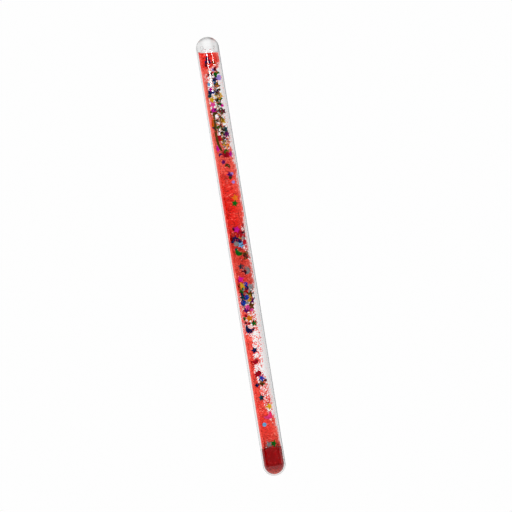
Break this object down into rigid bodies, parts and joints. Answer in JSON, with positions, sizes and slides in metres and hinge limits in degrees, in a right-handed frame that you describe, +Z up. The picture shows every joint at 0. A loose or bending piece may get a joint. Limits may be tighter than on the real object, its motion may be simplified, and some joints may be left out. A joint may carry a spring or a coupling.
{
  "type": "glitter wand rainstick",
  "caption": "Sealed clear round-ended wand whose foil stars, moons and red glitter drift slowly through the liquid inside when it is tipped.",
  "frame": {"origin": "middle of the wand, on its axis", "axes": "+Z up along the wand towards the end plug, -Y towards the front, +X to the wand's right seen from the front"},
  "size_m": [0.016, 0.016, 0.31],
  "materials": {
    "clear_acrylic": "polished clear acrylic, water-clear with a grey edge line",
    "foil_blue": "blue metallised plastic foil, bright where it catches the light",
    "foil_crimson": "crimson metallised plastic foil, bright where it catches the light",
    "foil_gold": "gold metallised plastic foil, bright where it catches the light",
    "foil_green": "green metallised plastic foil, bright where it catches the light",
    "foil_magenta": "magenta metallised plastic foil, bright where it catches the light",
    "foil_maroon": "maroon metallised plastic foil, bright where it catches the light",
    "foil_navy": "navy metallised plastic foil, bright where it catches the light",
    "foil_olive": "olive metallised plastic foil, bright where it catches the light",
    "foil_orange": "orange metallised plastic foil, bright where it catches the light",
    "foil_pink": "pink metallised plastic foil, bright where it catches the light",
    "foil_purple": "purple metallised plastic foil, bright where it catches the light",
    "foil_silver": "silver metallised plastic foil, bright where it catches the light",
    "foil_sky": "sky metallised plastic foil, bright where it catches the light",
    "foil_teal": "teal metallised plastic foil, bright where it catches the light",
    "foil_violet": "violet metallised plastic foil, bright where it catches the light",
    "red_glitter": "fine red metallised glitter, sparkling",
    "settled_glitter": "packed dark crimson glitter with bright grains"
  },
  "bodies": {
    "wand": {"wand_tube": "clear_acrylic", "end_plug": "clear_acrylic"},
    "upper_drift": {"red_glitter_top": "red_glitter", "red_glitter_upper": "red_glitter", "upper_dot_20_crimson": "foil_crimson", "upper_moon_02_maroon": "foil_maroon", "upper_moon_04_maroon": "foil_maroon", "upper_moon_05_green": "foil_green", "upper_moon_08_olive": "foil_olive", "upper_moon_12_green": "foil_green", "upper_moon_17_orange": "foil_orange", "upper_moon_23_green": "foil_green", "upper_star_01_navy": "foil_navy", "upper_star_03_green": "foil_green", "upper_star_06_navy": "foil_navy", "upper_star_07_sky": "foil_sky", "upper_star_09_magenta": "foil_magenta", "upper_star_10_gold": "foil_gold", "upper_star_11_gold": "foil_gold", "upper_star_13_pink": "foil_pink", "upper_star_14_maroon": "foil_maroon", "upper_star_15_magenta": "foil_magenta", "upper_star_16_gold": "foil_gold", "upper_star_18_teal": "foil_teal", "upper_star_19_purple": "foil_purple", "upper_star_21_orange": "foil_orange", "upper_star_22_magenta": "foil_magenta"},
    "middle_drift": {"middle_moon_09_green": "foil_green", "middle_moon_10_olive": "foil_olive", "middle_moon_12_silver": "foil_silver", "middle_star_01_purple": "foil_purple", "middle_star_02_violet": "foil_violet", "middle_star_03_orange": "foil_orange", "middle_star_04_green": "foil_green", "middle_star_05_magenta": "foil_magenta", "middle_star_06_navy": "foil_navy", "middle_star_07_crimson": "foil_crimson", "middle_star_08_sky": "foil_sky", "middle_star_11_teal": "foil_teal", "red_glitter_middle": "red_glitter"},
    "lower_drift": {"lower_dot_08_blue": "foil_blue", "lower_moon_12_navy": "foil_navy", "lower_star_01_magenta": "foil_magenta", "lower_star_02_gold": "foil_gold", "lower_star_03_silver": "foil_silver", "lower_star_04_green": "foil_green", "lower_star_05_olive": "foil_olive", "lower_star_06_teal": "foil_teal", "lower_star_07_purple": "foil_purple", "lower_star_09_purple": "foil_purple", "lower_star_10_orange": "foil_orange", "lower_star_11_green": "foil_green", "red_glitter_lower": "red_glitter"},
    "grip_drift": {"grip_dot_02_crimson": "foil_crimson", "grip_star_01_navy": "foil_navy", "grip_star_03_blue": "foil_blue", "grip_star_04_silver": "foil_silver", "grip_star_05_green": "foil_green", "red_glitter_grip": "red_glitter"},
    "settled_pile": {"settled_glitter": "settled_glitter"}
  },
  "joints": [
    {"name": "upper_drift_slide", "type": "slide", "parent": "wand", "child": "upper_drift", "axis": [0, 0, 1], "range_m": [-0.2049, 0]},
    {"name": "middle_drift_slide", "type": "slide", "parent": "wand", "child": "middle_drift", "axis": [0, 0, 1], "range_m": [-0.1214, 0.073]},
    {"name": "lower_drift_slide", "type": "slide", "parent": "wand", "child": "lower_drift", "axis": [0, 0, 1], "range_m": [-0.081, 0.1565]},
    {"name": "grip_drift_slide", "type": "slide", "parent": "wand", "child": "grip_drift", "axis": [0, 0, 1], "range_m": [0, 0.1969]},
    {"name": "settled_pile_slide", "type": "slide", "parent": "wand", "child": "settled_pile", "axis": [0, 0, 1], "range_m": [0, 0.2776], "deforming": ["settled_glitter"]}
  ]
}
